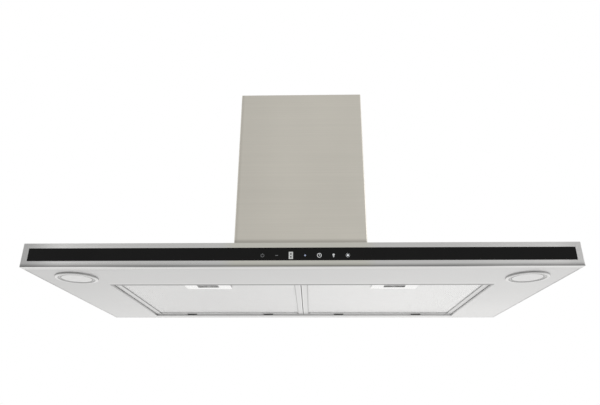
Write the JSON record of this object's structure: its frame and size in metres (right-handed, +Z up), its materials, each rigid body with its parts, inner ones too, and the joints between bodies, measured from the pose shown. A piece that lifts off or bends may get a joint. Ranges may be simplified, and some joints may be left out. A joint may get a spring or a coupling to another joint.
{
  "type": "island range hood",
  "caption": "Ceiling-hung range hood with a square telescopic chimney, a flat wide canopy with a black glass touch strip, round lamps and tilting grease filters below.",
  "frame": {"origin": "centre of the ceiling plate's top face, on the ceiling", "axes": "+Z up, +X to the right seen from the front, -Y towards the front with the glass strip"},
  "size_m": [0.9, 0.4518, 0.3965],
  "materials": {
    "chimney_steel": "horizontal brushing",
    "canopy_steel": "fine brushing along the width",
    "galvanised_steel": "galvanised sheet",
    "screws": "bright zinc",
    "black_glass": "back-painted black glass",
    "circuit_board": "solder mask",
    "spring_steel": "drawn wire",
    "display": "number display",
    "filter_aluminium": "rolled aluminium",
    "latch": "satin",
    "lamp_metal": "satin",
    "lamp_lens": "frosted glass",
    "cast_aluminium": "die cast",
    "casing_plastic": "flame retardant plastic",
    "motor_metal": "zinc plated",
    "shaft_steel": "ground steel",
    "rubber": "moulded rubber",
    "collar_plastic": "moulded plastic",
    "box_plastic": "moulded plastic",
    "gland_plastic": "moulded nylon",
    "leads": "cable sleeve"
  },
  "bodies": {
    "ceiling_frame": {"ceiling_plate": "galvanised_steel", "upper_posts": "galvanised_steel", "upper_cover_front": "chimney_steel", "upper_cover_back": "chimney_steel", "upper_cover_screws": "screws"},
    "canopy": {"clamp_bolts": "screws", "lower_posts": "galvanised_steel", "frame_screws": "screws", "lower_cover_front": "chimney_steel", "lower_cover_back": "chimney_steel", "lower_cover_screws": "screws", "canopy_top": "canopy_steel", "canopy_skirt": "canopy_steel", "underside_panel": "canopy_steel", "canopy_screws": "screws", "fascia_frame": "canopy_steel", "fascia_glass": "black_glass", "touch_board": "circuit_board", "touch_springs": "spring_steel", "display_module": "display", "lamp_bezel_left": "lamp_metal", "lamp_bezel_right": "lamp_metal", "lamp_lens_left": "lamp_lens", "lamp_lens_right": "lamp_lens", "lamp_housing_left": "cast_aluminium", "lamp_housing_right": "cast_aluminium", "lamp_boards": "circuit_board", "control_box": "box_plastic", "control_box_cover": "box_plastic", "control_board": "circuit_board", "mains_gland": "gland_plastic", "run_capacitor": "box_plastic", "lamp_leads": "leads", "motor_lead": "leads", "touch_lead": "leads", "blower_cabinet": "galvanised_steel", "scroll_casing": "casing_plastic", "inlet_ring_left": "casing_plastic", "inlet_ring_right": "casing_plastic", "motor": "motor_metal", "motor_bracket": "galvanised_steel", "motor_bushes": "rubber", "outlet_collar": "collar_plastic", "damper_pin": "shaft_steel"},
    "fan": {"motor_shaft": "shaft_steel", "impeller_hub": "casing_plastic", "impeller_blades": "casing_plastic", "impeller_nut": "screws"},
    "damper_front": {"damper_flap_front": "collar_plastic"},
    "damper_back": {"damper_flap_back": "collar_plastic"},
    "filter_left": {"filter_frame_left": "filter_aluminium", "filter_mesh_left": "filter_aluminium", "filter_handle_left": "filter_aluminium", "latch_spring_left": "spring_steel"},
    "filter_right": {"filter_frame_right": "filter_aluminium", "filter_mesh_right": "filter_aluminium", "filter_handle_right": "filter_aluminium", "latch_spring_right": "spring_steel"},
    "latch_left": {"latch_slider_left": "latch"},
    "latch_right": {"latch_slider_right": "latch"}
  },
  "joints": [
    {"name": "telescope", "type": "slide", "parent": "ceiling_frame", "child": "canopy", "axis": [0, 0, -1], "range_m": [0, 0.25]},
    {"name": "fan_spin", "type": "hinge", "parent": "canopy", "child": "fan", "pos_m": [0, 0, -0.252], "axis": [1, 0, 0], "continuous": true},
    {"name": "damper_front_hinge", "type": "hinge", "parent": "canopy", "child": "damper_front", "pos_m": [0, 0, -0.092], "axis": [-1, 0, 0], "range_deg": [0, 80]},
    {"name": "damper_back_hinge", "type": "hinge", "parent": "canopy", "child": "damper_back", "pos_m": [0, 0, -0.092], "axis": [1, 0, 0], "range_deg": [0, 80]},
    {"name": "filter_left_tilt", "type": "hinge", "parent": "canopy", "child": "filter_left", "pos_m": [0, 0.2045, -0.3894], "axis": [1, 0, 0], "range_deg": [0, 60]},
    {"name": "filter_right_tilt", "type": "hinge", "parent": "canopy", "child": "filter_right", "pos_m": [0, 0.2045, -0.3894], "axis": [1, 0, 0], "range_deg": [0, 60]},
    {"name": "latch_left_slide", "type": "slide", "parent": "filter_left", "child": "latch_left", "axis": [0, 1, 0], "range_m": [0, 0.0055], "stiffness_N_per_m": 250, "springref_m": -0.003, "deforming": ["latch_spring_left"]},
    {"name": "latch_right_slide", "type": "slide", "parent": "filter_right", "child": "latch_right", "axis": [0, 1, 0], "range_m": [0, 0.0055], "stiffness_N_per_m": 250, "springref_m": -0.003, "deforming": ["latch_spring_right"]}
  ]
}
